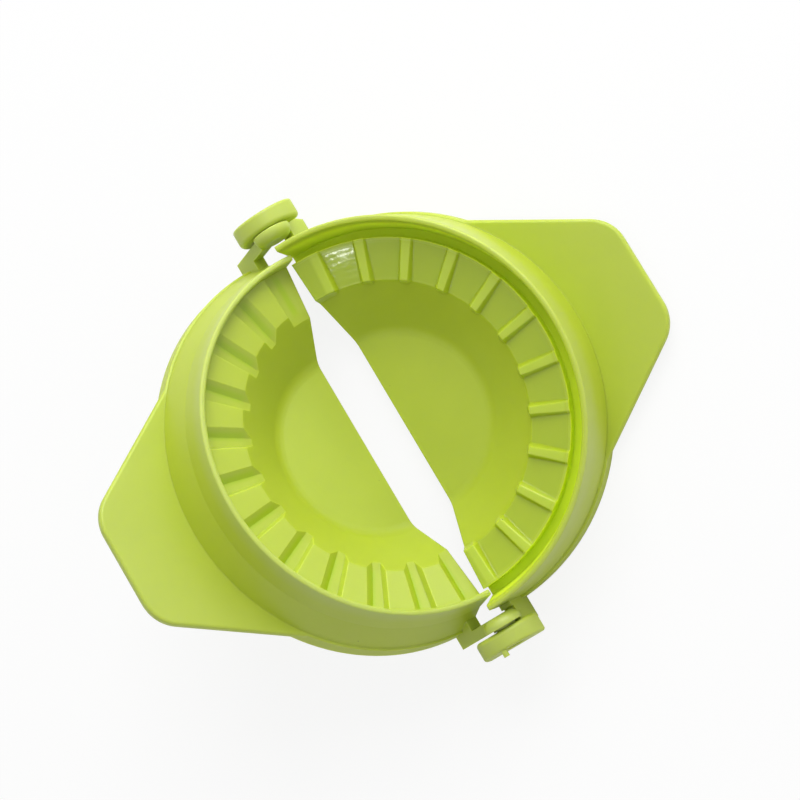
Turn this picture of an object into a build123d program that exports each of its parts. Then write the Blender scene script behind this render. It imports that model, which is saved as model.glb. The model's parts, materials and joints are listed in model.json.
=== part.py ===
"""Hand press for empanadas and dumplings: two hinged half-round dies with finger handles.

Frame: +Z up, origin on the surface that the press stands on, under the centre of its box.
The hinge axis runs along Y. Each half is drawn in its own half frame, with the hinge axis on Y
through the origin, +X out to its handle and +Z up out of its bowl, and is then put in place.
"""

import os
from math import atan, cos, radians, sin, tan

from build123d import *

os.makedirs("parts", exist_ok=True)

# Driving dimensions, in millimetres and degrees

fold_angle = 45.7  # how far the folding half stands up from lying flat
cut_gap = 0.3  # each half stops this far from the hinge axis
wall = 1.4  # moulded wall

# Bowl and crimping face, shared by both halves
floor_radius = 20.3
floor_depth = 11.8
floor_round = 4.0
crimp_inner_radius = 31.0
crimp_outer_radius = 40.0
crimp_edge_round = 0.7
crimp_count = 12  # teeth round each half; the outermost two run into the strips at its cut edge
crimp_pitch = 15.3  # angle from one tooth to the next
crimp_turn = 2.1  # angle by which the whole row of teeth is turned towards the -Y ears

# Base half: ridges that print the crimps, and the gutter outside them
base_face_inner_depth = 2.6
base_face_outer_depth = 0.4
ridge_rise_outer = 0.7
ridge_rise_inner = 1.4
ridge_top_outer_width = 2.1
ridge_top_inner_width = 1.5
ridge_flare = 0.6  # sideways spread of a ridge's flanks for each millimetre down
ridge_overrun = 0.8  # how far a ridge reaches past the crimping face into the bowl

# Folding half: grooves that the ridges press the dough into
folding_face_inner_depth = 2.0
folding_face_outer_depth = 0.0
groove_depth = 1.5
groove_floor_outer_width = 2.5
groove_floor_inner_width = 1.6  # where it runs out into the bowl
groove_flare = 0.4  # sideways spread of a groove's steep -Y flank for each millimetre up
groove_soft_flare = 1.2  # the same for its gentle +Y flank

# Folding half's rim, and the gutter and lip of the base half that it drops into
rim_play = 0.5
rim_thickness = 1.2
rim_height = 2.8
rim_round = 0.45
gutter_play = 0.2
gutter_floor_play = 0.5
gutter_flare = 1.4  # how much wider the gutter's outer side is at the lip's top than at its floor
lip_thickness = 1.2
lip_height = 4.6
lip_round = 0.45
flank_depth = 4.4
flank_draft = 8.0

# Skirt, whose lower edge also cuts the dough round
skirt_stand_off = 1.3  # how far the cutting edge stands out past the lip
skirt_edge = 1.2
skirt_draft = 2.5
step_width = 0.5
step_round = 0.2

# Handle plate
handle_length = 16.2  # from the cutting edge to the handle's straight outer edge
handle_half_width = 12.6
handle_spread = 0.63  # sideways spread for each millimetre towards the bowl
handle_top_depth = 11.8
handle_thickness = 2.3
handle_lift = 1.9  # how far its underside stands above the cutting edge
handle_corner = 8.5
handle_edge_round = 0.7

# Hinge
axle_radius = 2.0
axle_play = 0.06
axle_chamfer = 0.5
axle_recess = 0.5  # how far the axle's end stays inside the outer ear
collar_radius = 2.55
post_width = 2.9
inner_ear_radius = 4.3
inner_ear_play = 0.4  # between the skirt and the inner ear
inner_ear_thickness = 2.5
inner_ear_round = 2.0
inner_post_drop = 8.2
ear_gap = 0.5
collar_play = 0.1
pocket_play = 0.5
pocket_end_play = 0.3
outer_ear_radius = 7.3
outer_ear_thickness = 4.1
outer_ear_lean = 5.2
outer_ear_set_back = 1.2  # the half-round ear's centre lies this far past the axis
outer_ear_drop = 3.7  # and this far below it
outer_ear_foot_drop = 4.8  # flat underside of the ear
outer_ear_root = 1.4  # how far the post runs in under the ear
outer_ear_inboard_round = 1.0
outer_ear_outboard_round = 0.6
outer_post_drop = 2.8
gate_radius = 0.65
gate_length = 1.2
gate_x = -2.0
gate_z = 2.6

# Construction
root_depth = 1.0  # how far a raised form sinks into what carries it
trim_margin = 0.8  # how far a form runs on before it is trimmed to its neighbour

# Sizes that follow from the driving ones

crimp_end = crimp_pitch * (crimp_count - 1) / 2  # the outermost tooth's angle before the turn
rim_inner_radius = crimp_outer_radius + rim_play
rim_outer_radius = rim_inner_radius + rim_thickness
gutter_depth = rim_height + gutter_floor_play
gutter_outer_radius = rim_outer_radius + gutter_play
flank_radius = rim_outer_radius + (rim_height + flank_depth) * tan(radians(flank_draft))
lip_radius = gutter_outer_radius + gutter_flare + lip_thickness
skirt_radius = lip_radius + skirt_stand_off
skirt_depth = handle_top_depth + handle_thickness + handle_lift
step_radius = skirt_radius - (skirt_depth - handle_top_depth) * tan(radians(skirt_draft))
shoulder_radius = step_radius - step_width
handle_reach = skirt_radius + handle_length
inner_ear_start = skirt_radius + inner_ear_play
inner_ear_end = inner_ear_start + inner_ear_thickness
outer_ear_start = inner_ear_end + ear_gap
outer_ear_end = outer_ear_start + outer_ear_thickness
post_root = shoulder_radius - wall
fold = radians(fold_angle)
folded_reach = handle_reach * cos(fold) + (handle_top_depth + handle_thickness) * sin(fold)
axis_x = (folded_reach - handle_reach) / 2
axis_z = skirt_depth

base_place = Plane(origin=(axis_x, 0, axis_z))
folding_place = Plane(
    origin=(axis_x, 0, axis_z),
    x_dir=(-cos(fold), 0, sin(fold)),
    z_dir=(sin(fold), 0, cos(fold)),
)
outer_ear_end_plane = Plane(
    origin=(0, outer_ear_end, 0),
    z_dir=(0, cos(radians(outer_ear_lean)), sin(radians(outer_ear_lean))),
)


def beneath(points, thickness):
    """Return a chain of section points, going outwards, moved down by a wall's thickness."""
    lines = []
    for (r1, z1), (r2, z2) in zip(points, points[1:]):
        slope = (z2 - z1) / (r2 - r1)
        lines.append((slope, z1 - slope * r1 - thickness / cos(atan(slope))))
    first = (points[0][0], lines[0][0] * points[0][0] + lines[0][1])
    last = (points[-1][0], lines[-1][0] * points[-1][0] + lines[-1][1])
    corners = []
    for (slope1, level1), (slope2, level2) in zip(lines, lines[1:]):
        r = (level1 - level2) / (slope2 - slope1)
        corners.append((r, slope1 * r + level1))
    return [first, *corners, last]


def bowl_chain(face_inner_depth, end_radius, face_outer_depth):
    """Return the upper line of bowl and crimping face, from the centre outwards."""
    return [
        (0, -floor_depth),
        (floor_radius, -floor_depth),
        (crimp_inner_radius, -face_inner_depth),
        (end_radius, -face_outer_depth),
    ]


def skirt_chain():
    """Return the outer line of the stepped skirt, from its shoulder down to its cutting edge."""
    return [
        (shoulder_radius, -handle_top_depth),
        (step_radius, -handle_top_depth - step_round),
        (skirt_radius, -skirt_depth),
        (skirt_radius - skirt_edge, -skirt_depth),
    ]


def half_section(outline, rounds):
    """Return the face of a half's section, with the named corners rounded."""
    with BuildSketch(Plane.XZ) as section:
        with BuildLine():
            Polyline(*outline, close=True)
        make_face()
        for corner, radius in rounds:
            fillet(section.vertices().sort_by_distance((*corner, 0))[0], radius)
    return section.sketch


def base_section():
    """Return the base half's section: bowl, crimping face, gutter, lip and skirt."""
    top = bowl_chain(base_face_inner_depth, crimp_outer_radius, base_face_outer_depth)
    under = beneath(top, wall)
    gutter_under = -gutter_depth - wall
    face_slope = (under[3][1] - under[2][1]) / (under[3][0] - under[2][0])
    under[3] = (crimp_outer_radius - wall, under[3][1] - face_slope * wall)
    outline = [
        *top,
        (crimp_outer_radius, -gutter_depth),
        (gutter_outer_radius, -gutter_depth),
        (lip_radius - lip_thickness, lip_height),
        (lip_radius, lip_height),
        *skirt_chain(),
        (shoulder_radius - wall, gutter_under),
        (crimp_outer_radius - wall, gutter_under),
        *reversed(under),
    ]
    rounds = [
        (top[1], floor_round),
        (under[1], floor_round + wall),
        (top[2], crimp_edge_round),
        ((lip_radius - lip_thickness, lip_height), lip_round),
        ((lip_radius, lip_height), lip_round),
    ]
    return half_section(outline, rounds)


def folding_section():
    """Return the folding half's section: bowl, crimping face, rim and skirt."""
    top = bowl_chain(folding_face_inner_depth, rim_inner_radius, folding_face_outer_depth)
    under = beneath(top, wall)
    outline = [
        *top,
        (rim_inner_radius, rim_height),
        (rim_outer_radius, rim_height),
        (flank_radius, -flank_depth),
        *skirt_chain(),
        (shoulder_radius - wall, -handle_top_depth),
        (flank_radius - wall, -flank_depth),
        *reversed(under),
    ]
    rounds = [
        (top[1], floor_round),
        (under[1], floor_round + wall),
        (top[2], crimp_edge_round),
        ((rim_inner_radius, rim_height), rim_round),
        ((rim_outer_radius, rim_height), rim_round),
    ]
    return half_section(outline, rounds)


def face_height(radius, inner_depth, outer_depth, end_radius):
    """Return the height of a crimping face at a radius."""
    share = (radius - crimp_inner_radius) / (end_radius - crimp_inner_radius)
    return -inner_depth + share * (inner_depth - outer_depth)


def tooth_profile(radius, height, low, low_sides, high, high_sides):
    """Return a four-sided face across a tooth at a radius, between two heights on it.

    Each pair of sides is how far the face reaches towards -Y and towards +Y at that height.
    """
    with BuildSketch(Plane(origin=(radius, 0, height), x_dir=(0, 1, 0), z_dir=(1, 0, 0))) as profile:
        with BuildLine():
            Polyline(
                (-low_sides[0], low),
                (low_sides[1], low),
                (high_sides[1], high),
                (-high_sides[0], high),
                close=True,
            )
        make_face()
    return profile.sketch


def ridge_stations():
    """Return radius, face height, rise and top width of a ridge at outer end, inner end and tail."""
    bowl_slope = (floor_depth - base_face_inner_depth) / (crimp_inner_radius - floor_radius)
    outer = crimp_outer_radius + trim_margin
    outer_height = face_height(
        outer, base_face_inner_depth, base_face_outer_depth, crimp_outer_radius
    )
    tail_height = -base_face_inner_depth - ridge_overrun * bowl_slope
    return [
        (outer, outer_height, ridge_rise_outer, ridge_top_outer_width),
        (crimp_inner_radius, -base_face_inner_depth, ridge_rise_inner, ridge_top_inner_width),
        (crimp_inner_radius - ridge_overrun, tail_height, 0.0, ridge_top_inner_width),
    ]


def groove_mouth():
    """Return the radius at which a groove's floor has run out into the bowl."""
    bowl_slope = (floor_depth - folding_face_inner_depth) / (crimp_inner_radius - floor_radius)
    face_slope = (folding_face_inner_depth - folding_face_outer_depth) / (
        rim_inner_radius - crimp_inner_radius
    )
    return crimp_inner_radius - groove_depth / (bowl_slope - face_slope) - trim_margin


def groove_stations(inner):
    """Return radius, face height and floor width of a groove at its outer end and further in."""
    stations = []
    for radius in (rim_inner_radius + trim_margin, inner):
        share = (radius - groove_mouth()) / (rim_inner_radius - groove_mouth())
        height = face_height(
            radius, folding_face_inner_depth, folding_face_outer_depth, rim_inner_radius
        )
        spread = groove_floor_outer_width - groove_floor_inner_width
        stations.append((radius, height, groove_floor_inner_width + share * spread))
    return stations


def end_strip(top, bottom):
    """Return the face that a strip beside the cut edge sweeps, at the angle where it starts."""
    start = Plane.XZ.rotated((0, 0, crimp_end))
    with BuildSketch(start) as face:
        with BuildLine():
            Polyline(*top, *reversed(bottom), close=True)
        make_face()
    return face.sketch


def handle_outline():
    """Return the handle plate's outline, from inside the skirt out to its straight outer edge."""
    centre_half_width = handle_half_width + handle_spread * handle_reach
    root_half_width = centre_half_width / (1 + handle_spread**2)
    root_x = handle_spread * root_half_width  # where the side runs nearest to the bowl's centre
    with BuildSketch(Plane.XY.offset(-handle_top_depth)) as outline:
        with BuildLine():
            Polyline(
                (root_x, -root_half_width),
                (handle_reach, -handle_half_width),
                (handle_reach, handle_half_width),
                (root_x, root_half_width),
                close=True,
            )
        make_face()
        fillet(outline.vertices().group_by(Axis.X)[-1], handle_corner)
        Circle(step_radius - wall / 2, mode=Mode.SUBTRACT)
    return outline.sketch


def post_face(start, drop):
    """Return the face of an ear's post, from the skirt's edge up to a drop below the axis."""
    with BuildSketch(Plane.XZ.offset(-start)) as face:
        with BuildLine():
            Polyline(
                (cut_gap, -drop),
                (post_width, -drop),
                (post_width, -skirt_depth),
                (cut_gap, -skirt_depth),
                close=True,
            )
        make_face()
    return face.sketch


def disc_face(start, radius):
    """Return a round face on the hinge axis."""
    with BuildSketch(Plane.XZ.offset(-start)) as face:
        Circle(radius)
    return face.sketch


def outer_ear_face():
    """Return the half-round face of the outer ear, flat underneath, that hoods the axle."""
    with BuildSketch(Plane.XZ.offset(-outer_ear_start)) as face:
        with Locations((-outer_ear_set_back, -outer_ear_drop)):
            Circle(outer_ear_radius)
        with Locations((-outer_ear_set_back, -outer_ear_foot_drop)):
            Rectangle(
                4 * outer_ear_radius,
                2 * outer_ear_radius,
                align=(Align.CENTER, Align.MAX),
                mode=Mode.SUBTRACT,
            )
    return face.sketch


def tooth_set(tooth, strip, trim_radius):
    """Return a row of teeth with the strips beside the cut edge, trimmed round and turned."""
    with BuildPart() as strips:
        revolve(strip, axis=Axis.Z, revolution_arc=crimp_pitch)
        mirror(about=Plane.XZ)
    with BuildPart() as teeth:
        with PolarLocations(0, crimp_count, -crimp_end, 2 * crimp_end, endpoint=True):
            add(tooth)
        add(strips.part)
        Cylinder(trim_radius, 2 * skirt_depth, mode=Mode.INTERSECT)
    return teeth.part.rotate(Axis.Z, -crimp_turn)


def groove_form(inner, spare, top):
    """Return the forms that fill the grooves as the base half sees them, grown by a spare width."""
    stations = groove_stations(inner)
    depth = groove_depth + spare
    profiles = []
    for radius, height, width in stations:
        floor_side = width / 2 + spare
        steep_side = floor_side + (groove_depth + top) * groove_flare
        soft_side = floor_side + (groove_depth + top) * groove_soft_flare
        profiles.append(
            tooth_profile(
                radius, height, -depth, (floor_side, floor_side), top, (steep_side, soft_side)
            )
        )
    with BuildPart() as groove:
        loft(profiles, ruled=True)
    strip = end_strip(
        [(radius, height + top) for radius, height, width in stations],
        [(radius, height - depth) for radius, height, width in stations],
    )
    return tooth_set(groove.part, strip, rim_inner_radius + min(spare, rim_thickness / 2))


# Handle plate, the same on both halves

with BuildPart() as handle:
    extrude(handle_outline(), amount=-handle_thickness)
    outer_edges = handle.edges().filter_by(
        lambda edge: edge.center().X > skirt_radius and abs(edge.tangent_at(0.5).Z) < 0.5
    )
    fillet(outer_edges, handle_edge_round)

# One crimping ridge of the base half, and the face of the raised strip at its cut edge

ridge_profiles = []
for radius, height, rise, top_width in ridge_stations():
    top_side = top_width / 2
    root_side = top_side + (rise + root_depth) * ridge_flare
    ridge_profiles.append(
        tooth_profile(
            radius, height, -root_depth, (root_side, root_side), rise, (top_side, top_side)
        )
    )

with BuildPart() as ridge:
    loft(ridge_profiles, ruled=True)

ridge_strip = end_strip(
    [(radius, height + rise) for radius, height, rise, top_width in ridge_stations()],
    [(radius, height - root_depth) for radius, height, rise, top_width in ridge_stations()],
)

# Outer ear of the base half, on its +Y side

with BuildPart() as outer_ear:
    extrude(outer_ear_face(), amount=-2 * outer_ear_thickness)
    split(bisect_by=outer_ear_end_plane, keep=Keep.BOTTOM)
    inboard = outer_ear.faces().sort_by(Axis.Y)[0]
    fillet(inboard.edges().filter_by(GeomType.CIRCLE), outer_ear_inboard_round)
    outboard = outer_ear.faces().sort_by(Axis.Y)[-1]
    fillet(outboard.edges().filter_by(GeomType.LINE, reverse=True), outer_ear_outboard_round)
    extrude(post_face(post_root, outer_post_drop), amount=post_root - outer_ear_start - outer_ear_root)
    extrude(
        disc_face(inner_ear_start - pocket_end_play, inner_ear_radius + pocket_play),
        amount=inner_ear_start - pocket_end_play - outer_ear_start,
        mode=Mode.SUBTRACT,
    )
    extrude(
        disc_face(outer_ear_start, axle_radius + axle_play),
        amount=-2 * outer_ear_thickness,
        mode=Mode.SUBTRACT,
    )

# Stub left by the moulding gate, on the base half's -Y ear

with BuildPart() as gate:
    with BuildSketch(Plane.XZ.offset(outer_ear_end - outer_ear_root)):
        with Locations((gate_x, gate_z)):
            Circle(gate_radius)
    extrude(amount=outer_ear_root + gate_length)

# Inner ear of the folding half with its collar and axle, on its +Y side

with BuildPart() as inner_ear:
    extrude(disc_face(inner_ear_start, inner_ear_radius), amount=-inner_ear_thickness)
    fillet(inner_ear.edges().sort_by(Axis.Y)[0], inner_ear_round)
    extrude(post_face(post_root, inner_post_drop), amount=post_root - inner_ear_start)
    extrude(
        post_face(inner_ear_start, inner_ear_radius - inner_ear_round),
        amount=-inner_ear_thickness,
    )
    extrude(disc_face(inner_ear_end, collar_radius), amount=collar_play - ear_gap)
    extrude(disc_face(inner_ear_end, axle_radius), amount=axle_recess - ear_gap - outer_ear_thickness)
    tip = inner_ear.faces().sort_by(Axis.Y)[-1]
    chamfer(tip.edges(), axle_chamfer)

# Base half: lies on the table and carries the outer ears

with BuildPart() as base_half:
    revolve(base_section(), axis=Axis.Z)
    add(tooth_set(ridge.part, ridge_strip, crimp_outer_radius))
    split(bisect_by=Plane.YZ.offset(cut_gap), keep=Keep.TOP)
    add(handle.part)
    add(outer_ear.part)
    mirror(outer_ear.part, about=Plane.XZ)
    add(gate.part)

# Folding half: swings over onto the base half and carries the inner ears and axles

with BuildPart() as folding_half:
    revolve(folding_section(), axis=Axis.Z)
    mirror(groove_form(crimp_inner_radius - root_depth, wall, -root_depth), about=Plane.XZ)
    mirror(groove_form(groove_mouth(), 0, rim_height), about=Plane.XZ, mode=Mode.SUBTRACT)
    split(bisect_by=Plane.YZ.offset(cut_gap), keep=Keep.TOP)
    add(handle.part)
    add(inner_ear.part)
    mirror(inner_ear.part, about=Plane.XZ)

base_part = base_half.part.moved(base_place.location)
base_part.label = "base_half"
export_step(base_part, "parts/base_half.step")

folding_part = folding_half.part.moved(folding_place.location)
folding_part.label = "folding_half"
export_step(folding_part, "parts/folding_half.step")
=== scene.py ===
"""Looks of a two-part dough press: its lime plastic finish, the studio round it and the camera.

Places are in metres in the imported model's frame: +Z up from the surface that the press stands
on, +Y along the hinge and +X out to the base half's handle. Each half also has a frame of its
own for its surface patterns, with the hinge axis on Y, +X out to the half's handle and +Z up
out of its bowl. Bearings and elevations are in degrees, and all other angles in radians.
"""

import json
import logging
from dataclasses import dataclass, field
from enum import Enum
from math import cos, pi, radians, sin
from typing import Any, Dict, Mapping, Optional, Sequence, Tuple, Union

import bmesh
import bpy
from mathutils import Matrix, Vector


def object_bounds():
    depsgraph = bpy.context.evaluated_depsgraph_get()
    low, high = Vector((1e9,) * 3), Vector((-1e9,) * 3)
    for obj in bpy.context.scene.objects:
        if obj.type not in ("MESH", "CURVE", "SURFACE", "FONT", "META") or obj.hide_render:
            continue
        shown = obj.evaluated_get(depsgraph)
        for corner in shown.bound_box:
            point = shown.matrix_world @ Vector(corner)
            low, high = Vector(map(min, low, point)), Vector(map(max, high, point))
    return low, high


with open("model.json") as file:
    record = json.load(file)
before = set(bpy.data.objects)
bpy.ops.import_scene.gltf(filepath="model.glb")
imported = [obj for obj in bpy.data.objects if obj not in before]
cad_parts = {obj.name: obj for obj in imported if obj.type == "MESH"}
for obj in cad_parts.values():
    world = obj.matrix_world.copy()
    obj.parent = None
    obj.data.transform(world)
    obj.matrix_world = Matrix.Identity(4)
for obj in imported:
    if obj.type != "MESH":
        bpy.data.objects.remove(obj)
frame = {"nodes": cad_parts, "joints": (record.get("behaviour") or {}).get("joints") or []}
cad_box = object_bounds()

log = logging.getLogger("dough_press")

MM = 0.001

Colour = Tuple[float, float, float]
Paint = Union[Colour, bpy.types.NodeSocket]
Operand = Union["Signal", float]

WHITE: Colour = (1.0, 1.0, 1.0)
LEVEL_ONLY = (1.0, 1.0, 0.0)
NOISE_ROUGHNESS = 0.5
MIX_LOW_SOCKET = 6
MIX_HIGH_SOCKET = 7
MIX_RESULT_SOCKET = 2


def opaque(colour: Colour) -> Tuple[float, float, float, float]:
    """Return a colour with full alpha."""
    return (*colour, 1.0)


def direction(bearing: float, elevation: float = 0.0) -> Vector:
    """Return the unit vector at a bearing and an elevation, both in degrees."""
    turn, rise = radians(bearing), radians(elevation)
    return Vector((cos(turn) * cos(rise), sin(turn) * cos(rise), sin(rise)))


class Signal:
    """A single-number shader output that takes part in Python arithmetic."""

    def __init__(self, graph: "Graph", socket: bpy.types.NodeSocket) -> None:
        """Wrap one output socket of a node in a graph."""
        self.graph = graph
        self.socket = socket

    def __add__(self, other: Operand) -> "Signal":
        """Return self + other."""
        return self.graph.maths("ADD", self, other)

    __radd__ = __add__

    def __sub__(self, other: Operand) -> "Signal":
        """Return self - other."""
        return self.graph.maths("SUBTRACT", self, other)

    def __rsub__(self, other: Operand) -> "Signal":
        """Return other - self."""
        return self.graph.maths("SUBTRACT", other, self)

    def __mul__(self, other: Operand) -> "Signal":
        """Return self * other."""
        return self.graph.maths("MULTIPLY", self, other)

    __rmul__ = __mul__

    def __truediv__(self, other: Operand) -> "Signal":
        """Return self / other."""
        return self.graph.maths("DIVIDE", self, other)

    def __rtruediv__(self, other: Operand) -> "Signal":
        """Return other / self."""
        return self.graph.maths("DIVIDE", other, self)

    def sine(self) -> "Signal":
        """Return the sine of self, in radians."""
        return self.graph.maths("SINE", self)

    def size(self) -> "Signal":
        """Return self without its sign."""
        return self.graph.maths("ABSOLUTE", self)

    def fraction(self) -> "Signal":
        """Return what is left of self above the whole number below it."""
        return self.graph.maths("FRACT", self)

    def rise(self, start: float, end: float) -> "Signal":
        """Return 0 before start and 1 after end, in a straight line between them."""
        scaled = (self - start) / (end - start)
        return self.graph.maths("ADD", scaled, 0.0, clamp=True)

    def within(self, start: float, end: float, soft: float) -> "Signal":
        """Return 1 between start and end and 0 outside, with edges as wide as soft."""
        return self.rise(start, start + soft) * (1 - self.rise(end - soft, end))


class Graph:
    """The node tree of one material or world."""

    def __init__(self, tree: bpy.types.NodeTree) -> None:
        """Empty the tree."""
        self.tree = tree
        tree.nodes.clear()

    def node(
        self,
        kind: str,
        settings: Optional[Mapping[str, Any]] = None,
        inputs: Optional[Mapping[Union[str, int], Any]] = None,
    ) -> bpy.types.Node:
        """Add a node.

        Args:
            kind: the node's type name.
            settings: its own settings, set before its sockets.
            inputs: a value, a link or a signal for each named or numbered socket.

        Returns:
            The new node.
        """
        made = self.tree.nodes.new(kind)
        for name, value in (settings or {}).items():
            setattr(made, name, value)
        for key, value in (inputs or {}).items():
            if isinstance(value, Signal):
                self.tree.links.new(value.socket, made.inputs[key])
            elif isinstance(value, bpy.types.NodeSocket):
                self.tree.links.new(value, made.inputs[key])
            else:
                made.inputs[key].default_value = value
        return made

    def signal(
        self,
        kind: str,
        settings: Optional[Mapping[str, Any]] = None,
        inputs: Optional[Mapping[Union[str, int], Any]] = None,
        output: Union[str, int] = 0,
    ) -> Signal:
        """Add a node and return one of its number outputs."""
        return Signal(self, self.node(kind, settings, inputs).outputs[output])

    def maths(self, operation: str, *operands: Operand, clamp: bool = False) -> Signal:
        """Add a Math node.

        Args:
            operation: the node's operation.
            operands: its inputs, in order.
            clamp: whether the result is kept between 0 and 1.

        Returns:
            The node's result.
        """
        settings = {"operation": operation, "use_clamp": clamp}
        return self.signal("ShaderNodeMath", settings, dict(enumerate(operands)))

    def blend(self, share: Operand, low: Paint, high: Paint) -> bpy.types.NodeSocket:
        """Add a Mix node for two colours.

        Args:
            share: how much of the high colour shows, from 0 to 1.
            low: the colour, or the link to it, at a share of 0.
            high: the colour, or the link to it, at a share of 1.

        Returns:
            The mixed colour.
        """
        low_value, high_value = (
            paint if isinstance(paint, bpy.types.NodeSocket) else opaque(paint)
            for paint in (low, high)
        )
        mix = self.node(
            "ShaderNodeMix",
            {"data_type": "RGBA"},
            {"Factor": share, MIX_LOW_SOCKET: low_value, MIX_HIGH_SOCKET: high_value},
        )
        return mix.outputs[MIX_RESULT_SOCKET]


class NoiseDetail(Enum):
    """How many finer layers a noise has."""

    PLAIN = 1.0
    SOFT = 2.0
    CLOUDY = 3.0


@dataclass(frozen=True)
class Spot:
    """The point that is being shaded, in its half's own frame.

    The height is above the hinge axis, and the radius is from the upright line through the
    axis's middle.
    """

    graph: Graph
    point: bpy.types.NodeSocket
    x: Signal
    y: Signal
    height: Signal
    radius: Signal

    def noise(self, size: float, detail: NoiseDetail = NoiseDetail.SOFT) -> Signal:
        """Return smooth noise from 0 to 1.

        Args:
            size: the size of its features, in metres.
            detail: how many finer layers it has.

        Returns:
            The noise at the spot.
        """
        inputs = {
            "Vector": self.point,
            "Scale": 1 / size,
            "Detail": detail.value,
            "Roughness": NOISE_ROUGHNESS,
        }
        return self.graph.signal("ShaderNodeTexNoise", {"noise_dimensions": "3D"}, inputs)


@dataclass(frozen=True)
class HalfPlace:
    """Where a half's own frame stands: the hinge axis and how far the half is folded up."""

    axis: Vector
    turn: Tuple[float, float, float] = (0.0, 0.0, 0.0)

    def spot(self, graph: Graph) -> Spot:
        """Add the nodes that place the shaded point in the half's own frame.

        Args:
            graph: the material's graph.

        Returns:
            The point.
        """
        surface = graph.node("ShaderNodeTexCoord").outputs["Object"]
        point = graph.node(
            "ShaderNodeMapping",
            {"vector_type": "TEXTURE"},
            {"Vector": surface, "Location": self.axis, "Rotation": self.turn},
        ).outputs["Vector"]
        parts = graph.node("ShaderNodeSeparateXYZ", {}, {0: point}).outputs
        x, y, height = (Signal(graph, parts[name]) for name in "XYZ")
        level = graph.node(
            "ShaderNodeVectorMath", {"operation": "MULTIPLY"}, {0: point, 1: LEVEL_ONLY}
        ).outputs[0]
        radius = graph.signal(
            "ShaderNodeVectorMath", {"operation": "LENGTH"}, {0: level}, output="Value"
        )
        return Spot(graph, point, x, y, height, radius)


@dataclass(frozen=True)
class CrimpZones:
    """Where the crimping face, its teeth, the gutter and the lip lie round a half's middle."""

    pitch: float = radians(15.3)
    turn: float = 0.0
    tooth_half_width: float = 0.9 * MM
    face_start: float = 30.2 * MM
    face_end: float = 40.0 * MM
    face_soft: float = 1.3 * MM
    gutter_end: float = 43.3 * MM
    gutter_lean: float = 0.18
    gutter_top: float = 3.6 * MM
    gutter_top_soft: float = 2.0 * MM
    rim_fade: float = -5.0 * MM
    rim_start: float = 0.0
    handle_start: float = 46.0 * MM
    handle_end: float = 60.0 * MM
    handle_share: float = 0.45
    soft: float = 0.5 * MM

    def face(self, spot: Spot) -> Signal:
        """Return 1 on the crimping face."""
        return spot.radius.within(self.face_start, self.face_end, self.face_soft)

    def dish(self, spot: Spot) -> Signal:
        """Return how far the crimping face has sunk.

        Args:
            spot: the point being shaded.

        Returns:
            0 at the face's inner and outer edge and -1 midway between them.
        """
        width = self.face_end - self.face_start
        offset = (spot.radius * 2 - (self.face_start + self.face_end)) / width
        return offset * offset - 1

    def teeth(self, spot: Spot) -> Signal:
        """Mark the teeth, all the way in and out.

        Args:
            spot: the point being shaded.

        Returns:
            1 along the middle of each tooth and 0 between them.
        """
        steps = (spot.graph.maths("ARCTAN2", spot.y, spot.x) - self.turn) / self.pitch
        across = (steps.fraction() - 0.5).size() * self.pitch * spot.radius
        edge = self.tooth_half_width
        return 1 - across.rise(edge - self.soft / 2, edge + self.soft)

    def outside(self, spot: Spot) -> Signal:
        """Return 1 past the middle of the lip's leaning wall."""
        leaning = spot.radius - spot.height * self.gutter_lean
        return leaning.rise(self.gutter_end - self.soft, self.gutter_end)

    def gutter(self, spot: Spot) -> Signal:
        """Mark the gutter between the crimping face and the lip.

        Args:
            spot: the point being shaded.

        Returns:
            1 in the gutter and 0 elsewhere.
        """
        past_face = spot.radius.rise(self.face_end - self.soft / 2, self.face_end)
        low = 1 - spot.height.rise(self.gutter_top - self.gutter_top_soft, self.gutter_top)
        return past_face * (1 - self.outside(spot)) * low

    def painted_sheen(self, spot: Spot) -> Signal:
        """Mark where a painted sheen, a pale reflection, lies on the lip and the handle.

        Args:
            spot: the point being shaded.

        Returns:
            0 where nothing rubs, up to 1 at the rim's top and the handle share on the handle.
        """
        rim = spot.height.rise(self.rim_fade, self.rim_start)
        handle = spot.radius.rise(self.handle_start, self.handle_end) * self.handle_share
        return self.outside(spot) * (rim + handle)


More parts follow.
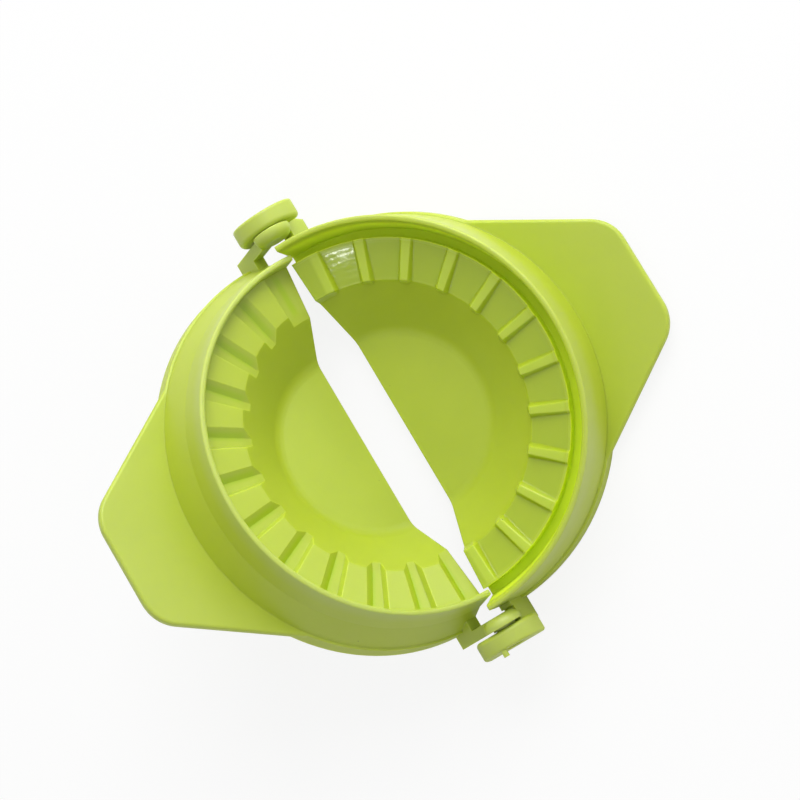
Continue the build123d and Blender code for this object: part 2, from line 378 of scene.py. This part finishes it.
@dataclass(frozen=True)
class MouldedPlastic:
    """Glossy polypropylene with its mould's marks, and painted light and shade in its colour.
    """

    zones: CrimpZones = CrimpZones()
    pigment: Colour = (0.46, 0.56, 0.036)
    deep_pigment: Colour = (0.44, 0.54, 0.032)
    # The land and tooth colours are painted light: a painted highlight on ridge tops, painted
    # shade on lands and on steep groove sides, and a paler painted sheen on the grooved half's
    # lands.
    land_shade_and_sheen: Colour = (0.41, 0.52, 0.015)
    tooth_highlight_and_shade: Colour = (0.50, 0.62, 0.044)
    # A painted glow: the gutter is made bright green in place of light shining through the thin
    # plastic into its shade.
    gutter_painted_glow: Colour = (0.70, 0.84, 0.024)
    # A painted sheen: a paler, whiter reflection laid on the lip's top and the handle.
    painted_sheen_pigment: Colour = (0.46, 0.55, 0.085)
    mottle_size: float = 14 * MM
    mottle_band: Tuple[float, float] = (0.3, 0.7)
    speck: Colour = (0.12, 0.15, 0.02)
    speck_spacing: float = 9 * MM
    speck_radius: float = 0.16 * MM
    speck_core: float = 0.6
    refraction: float = 1.49
    gloss: float = 0.50
    roughness: float = 0.43
    polished_roughness: float = 0.10
    gutter_roughness: float = 0.70
    roughness_spread: float = 0.05
    scuff_size: float = 5 * MM
    scuff_band: Tuple[float, float] = (0.4, 0.8)
    glow_share: float = 0.80
    glow_reach: Vector = field(default_factory=lambda: Vector((1.0, 1.0, 0.18)))
    glow_scale: float = 1.6 * MM
    edge_round: float = 0.45 * MM
    edge_samples: int = 6
    peel_size: float = 3.2 * MM
    peel_depth: float = 0.004 * MM
    dish_depth: float = 0.09 * MM
    ripple_size: float = 2.6 * MM
    ripple_depth: float = 0.040 * MM
    ring_pitch: float = 1.15 * MM
    ring_depth: float = 0.0011 * MM
    grain_size: float = 0.22 * MM
    grain_depth: float = 0.0012 * MM

    def rings(self, spot: Spot) -> Signal:
        """Return the faint turning marks of the mould, round each half's middle."""
        wobble = spot.noise(self.mottle_size) * self.ring_pitch
        return ((spot.radius + wobble) * (2 * pi / self.ring_pitch)).sine()

    def specks(self, spot: Spot) -> Signal:
        """Mark the few dark specks that came with the pellets.

        Args:
            spot: the point being shaded.

        Returns:
            1 inside a speck and 0 elsewhere.
        """
        near = spot.graph.signal(
            "ShaderNodeTexVoronoi",
            {"feature": "F1"},
            {"Vector": spot.point, "Scale": 1 / self.speck_spacing},
            output="Distance",
        ) * self.speck_spacing
        return 1 - near.rise(self.speck_core * self.speck_radius, self.speck_radius)

    def colour(self, spot: Spot, face: Signal, gutter: Signal) -> bpy.types.NodeSocket:
        """Lay out the pigments and the painted light: highlight, shade, glow and sheen.

        Args:
            spot: the point being shaded.
            face: 1 on the crimping face.
            gutter: 1 in the gutter.

        Returns:
            The colour of the surface.
        """
        graph = spot.graph
        mottle = spot.noise(self.mottle_size, NoiseDetail.CLOUDY).rise(*self.mottle_band)
        clouded = graph.blend(mottle, self.deep_pigment, self.pigment)
        # Painted sheen on the lip's top and the handle.
        painted_sheen = graph.blend(self.zones.painted_sheen(spot), clouded, self.painted_sheen_pigment)
        # Painted highlight and shade on the crimping face: ridge tops lightened, lands and
        # steep groove sides darkened.
        toothed = graph.blend(self.zones.teeth(spot), self.land_shade_and_sheen, self.tooth_highlight_and_shade)
        faced = graph.blend(face, painted_sheen, toothed)
        # Painted glow in the gutter, lifting its shade.
        banded = graph.blend(gutter, faced, self.gutter_painted_glow)
        return graph.blend(self.specks(spot), banded, self.speck)

    def dullness(self, spot: Spot, face: Signal, gutter: Signal) -> Signal:
        """Return the roughness: low on the polished face, high in the gutter and on scuffs.

        Args:
            spot: the point being shaded.
            face: 1 on the crimping face.
            gutter: 1 in the gutter.

        Returns:
            The roughness of the surface.
        """
        scuff = spot.noise(self.scuff_size, NoiseDetail.CLOUDY).rise(*self.scuff_band)
        return (
            self.roughness
            + scuff * self.roughness_spread
            + face * (self.polished_roughness - self.roughness)
            + gutter * (self.gutter_roughness - self.roughness)
        )

    def normal(self, spot: Spot, face: Signal) -> bpy.types.NodeSocket:
        """Soften the corners and press the marks of the mould into the surface.

        Args:
            spot: the point being shaded.
            face: 1 on the crimping face, where the plastic has sunk a little over the teeth.

        Returns:
            The surface normal.
        """
        corner = spot.graph.node(
            "ShaderNodeBevel", {"samples": self.edge_samples}, {"Radius": self.edge_round}
        ).outputs["Normal"]
        height = (
            spot.noise(self.peel_size) * self.peel_depth
            + (spot.noise(self.ripple_size) - 0.5) * face * self.ripple_depth
            + self.zones.dish(spot) * face * self.dish_depth
            + self.rings(spot) * self.ring_depth
            + spot.noise(self.grain_size, NoiseDetail.PLAIN) * self.grain_depth
        )
        bump = spot.graph.node(
            "ShaderNodeBump",
            {},
            {"Strength": 1.0, "Distance": 1.0, "Height": height, "Normal": corner},
        )
        return bump.outputs["Normal"]

    def material(self, name: str, place: HalfPlace) -> bpy.types.Material:
        """Build the finish.

        Args:
            name: the material's name.
            place: the frame that its patterns are laid out in.

        Returns:
            The finished material.
        """
        made = bpy.data.materials.new(name)
        made.use_nodes = True
        graph = Graph(made.node_tree)
        spot = place.spot(graph)
        face = self.zones.face(spot)
        gutter = self.zones.gutter(spot)
        surface = graph.node(
            "ShaderNodeBsdfPrincipled",
            {"subsurface_method": "RANDOM_WALK"},
            {
                "Base Color": self.colour(spot, face, gutter),
                "Roughness": self.dullness(spot, face, gutter),
                "IOR": self.refraction,
                "Specular IOR Level": self.gloss,
                "Subsurface Weight": self.glow_share,
                "Subsurface Radius": self.glow_reach,
                "Subsurface Scale": self.glow_scale,
                "Normal": self.normal(spot, face),
            },
        )
        graph.node("ShaderNodeOutputMaterial", {}, {"Surface": surface.outputs["BSDF"]})
        return made


# Ridged half: the tooth band sits on each ridge's top as a painted highlight, and the lands are
# darkened as painted shade from the ridges.
RIDGED_PLASTIC = MouldedPlastic(zones=CrimpZones(turn=radians(-2.1)))
# Grooved half: the tooth band sits on each groove's steep side as painted shade, and the lands
# are a little paler as a painted sheen.
GROOVED_PLASTIC = MouldedPlastic(
    zones=CrimpZones(
        tooth_half_width=0.6 * MM,
        face_end=40.4 * MM,
        gutter_end=40.2 * MM,
        # The painted sheen here covers only the rim's top.
        rim_fade=-1.5 * MM,
        rim_start=1.5 * MM,
    ),
    land_shade_and_sheen=(0.47, 0.57, 0.046),
    tooth_highlight_and_shade=(0.42, 0.57, 0.012),
    painted_sheen_pigment=(0.46, 0.55, 0.095),
    gloss=0.62,
    polished_roughness=0.36,
    edge_round=0.28 * MM,
    dish_depth=0.0,
    ripple_depth=0.010 * MM,
)


@dataclass(frozen=True)
class PressHalf:
    """One moulded half of the press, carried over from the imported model."""

    node: str
    body: str
    place: HalfPlace
    finish: MouldedPlastic

    def dress(self) -> bpy.types.Object:
        """Give the half its finish.

        Returns:
            The half's object.
        """
        half = frame["nodes"][self.node]
        half.data.materials.clear()
        half.data.materials.append(self.finish.material(f"{self.node}_plastic", self.place))
        log.info("dressed %s, which rides on body %s", self.node, self.body)
        return half


class Lamp(Enum):
    """The studio's lamps."""

    OVERHEAD = "overhead_softbox"
    WINDOW = "window"
    FILL = "fill"


@dataclass(frozen=True)
class LampPlan:
    """Where a lamp hangs, as bearing, elevation and distance from the press, and its light."""

    bearing: float
    elevation: float
    distance: float
    width: float
    height: float
    power: float

    def hang(self, lamp: Lamp, target: Vector) -> bpy.types.Object:
        """Hang the lamp so that it faces the target.

        Args:
            lamp: which of the lamps this is.
            target: the point that it faces.

        Returns:
            The lamp's object.
        """
        towards = direction(self.bearing, self.elevation)
        data = bpy.data.lights.new(lamp.value, "AREA")
        data.shape = "RECTANGLE"
        data.size = self.width
        data.size_y = self.height
        data.energy = self.power
        hung = bpy.data.objects.new(lamp.value, data)
        hung.location = target + towards * self.distance
        hung.rotation_mode = "QUATERNION"
        hung.rotation_quaternion = towards.to_track_quat("Z", "Y")
        bpy.context.scene.collection.objects.link(hung)
        log.info("hung %s", lamp.value)
        return hung


@dataclass(frozen=True)
class Studio:
    """A pale floor, a white surround and soft lamps."""

    floor_reach: float = 3.0
    floor_colour: Colour = (0.90, 0.90, 0.90)
    shadow_share: float = 0.14
    ambient: float = 0.53
    lamps: Dict[Lamp, LampPlan] = field(
        default_factory=lambda: {
            Lamp.OVERHEAD: LampPlan(57.0, 40.0, 0.9, 0.60, 0.60, 5.8),
            Lamp.FILL: LampPlan(42.0, 12.0, 1.0, 1.10, 0.40, 3.4),
            Lamp.WINDOW: LampPlan(-146.3, 60.4, 1.2, 0.036, 0.036, 0.28),
        }
    )

    def surround(self) -> None:
        """Make the world: soft light on the press, white for the camera and reflections."""
        world = bpy.data.worlds.new("studio")
        world.use_nodes = True
        bpy.context.scene.world = world
        graph = Graph(world.node_tree)
        rays = graph.node("ShaderNodeLightPath").outputs
        seen, mirrored, sent_through = (
            Signal(graph, rays[name])
            for name in ("Is Camera Ray", "Is Glossy Ray", "Is Transmission Ray")
        )
        shown = graph.maths("MAXIMUM", graph.maths("MAXIMUM", seen, mirrored), sent_through)
        strength = shown * (1 - self.ambient) + self.ambient
        glow = graph.node(
            "ShaderNodeBackground", {}, {"Color": opaque(WHITE), "Strength": strength}
        )
        graph.node("ShaderNodeOutputWorld", {}, {"Surface": glow.outputs[0]})

    def floor_finish(self) -> bpy.types.Material:
        """Make the floor's white board, which keeps part of the press's shadow.

        Returns:
            The board's material.
        """
        made = bpy.data.materials.new("white_board")
        made.use_nodes = True
        graph = Graph(made.node_tree)
        rays = graph.node("ShaderNodeLightPath").outputs
        board = graph.node(
            "ShaderNodeBsdfDiffuse", {}, {"Color": opaque(self.floor_colour)}
        )
        white = graph.node(
            "ShaderNodeEmission", {}, {"Color": opaque(WHITE), "Strength": 1.0}
        )
        veil = Signal(graph, rays["Is Camera Ray"]) * (1 - self.shadow_share)
        mix = graph.node(
            "ShaderNodeMixShader", {}, {0: veil, 1: board.outputs[0], 2: white.outputs[0]}
        )
        graph.node("ShaderNodeOutputMaterial", {}, {"Surface": mix.outputs[0]})
        return made

    def floor(self) -> bpy.types.Object:
        """Lay the floor that the press stands on.

        Returns:
            The floor's object.
        """
        shape = bmesh.new()
        bmesh.ops.create_grid(shape, x_segments=1, y_segments=1, size=self.floor_reach)
        mesh = bpy.data.meshes.new("floor")
        shape.to_mesh(mesh)
        shape.free()
        mesh.materials.append(self.floor_finish())
        laid = bpy.data.objects.new("floor", mesh)
        bpy.context.scene.collection.objects.link(laid)
        return laid

    def build(self, target: Vector) -> None:
        """Build the surround, the floor and the lamps.

        Args:
            target: the point that the lamps face.
        """
        self.surround()
        self.floor()
        for lamp, plan in self.lamps.items():
            plan.hang(lamp, target)


@dataclass(frozen=True)
class Viewpoint:
    """The camera: where it stands and looks, from the hinge's middle, and which way is up."""

    eye: Vector = field(default_factory=lambda: Vector((131.35, -48.41, 425.54)) * MM)
    aim: Vector = field(default_factory=lambda: Vector((5.613, 3.083, 0.0)) * MM)
    upright_bearing: float = 57.867
    lens: float = 95.33
    sensor: float = 36.0
    near_clip: float = 0.01

    def build(self, hinge: Vector) -> bpy.types.Object:
        """Stand the camera up and make it the scene's.

        Args:
            hinge: the middle of the hinge axis.

        Returns:
            The camera.
        """
        data = bpy.data.cameras.new("camera")
        data.lens = self.lens
        data.sensor_width = self.sensor
        data.clip_start = self.near_clip
        camera = bpy.data.objects.new("camera", data)
        back = (self.eye - self.aim).normalized()
        right = direction(self.upright_bearing).cross(back).normalized()
        turn = Matrix((right, back.cross(right), back)).transposed()
        camera.matrix_world = Matrix.Translation(hinge + self.eye) @ turn.to_4x4()
        bpy.context.scene.collection.objects.link(camera)
        bpy.context.scene.camera = camera
        return camera


def main() -> None:
    """Dress the press, build the studio and stand the camera up."""
    logging.basicConfig(level=logging.INFO, format="%(name)s: %(message)s")
    fold = frame["joints"][0]
    axis = Vector(fold["pos_m"])
    lifted = radians(-min(fold["range_deg"]))
    folded_up = HalfPlace(axis, (0.0, -lifted, pi))
    halves: Sequence[PressHalf] = (
        PressHalf("base_half", "base", HalfPlace(axis), RIDGED_PLASTIC),
        PressHalf("folding_half", "folding", folded_up, GROOVED_PLASTIC),
    )
    for half in halves:
        half.dress()
    low, high = cad_box
    Studio().build((low + high) / 2)
    Viewpoint().build(axis)
    bpy.context.scene.view_settings.view_transform = "Standard"


if __name__ == "__main__":
    main()
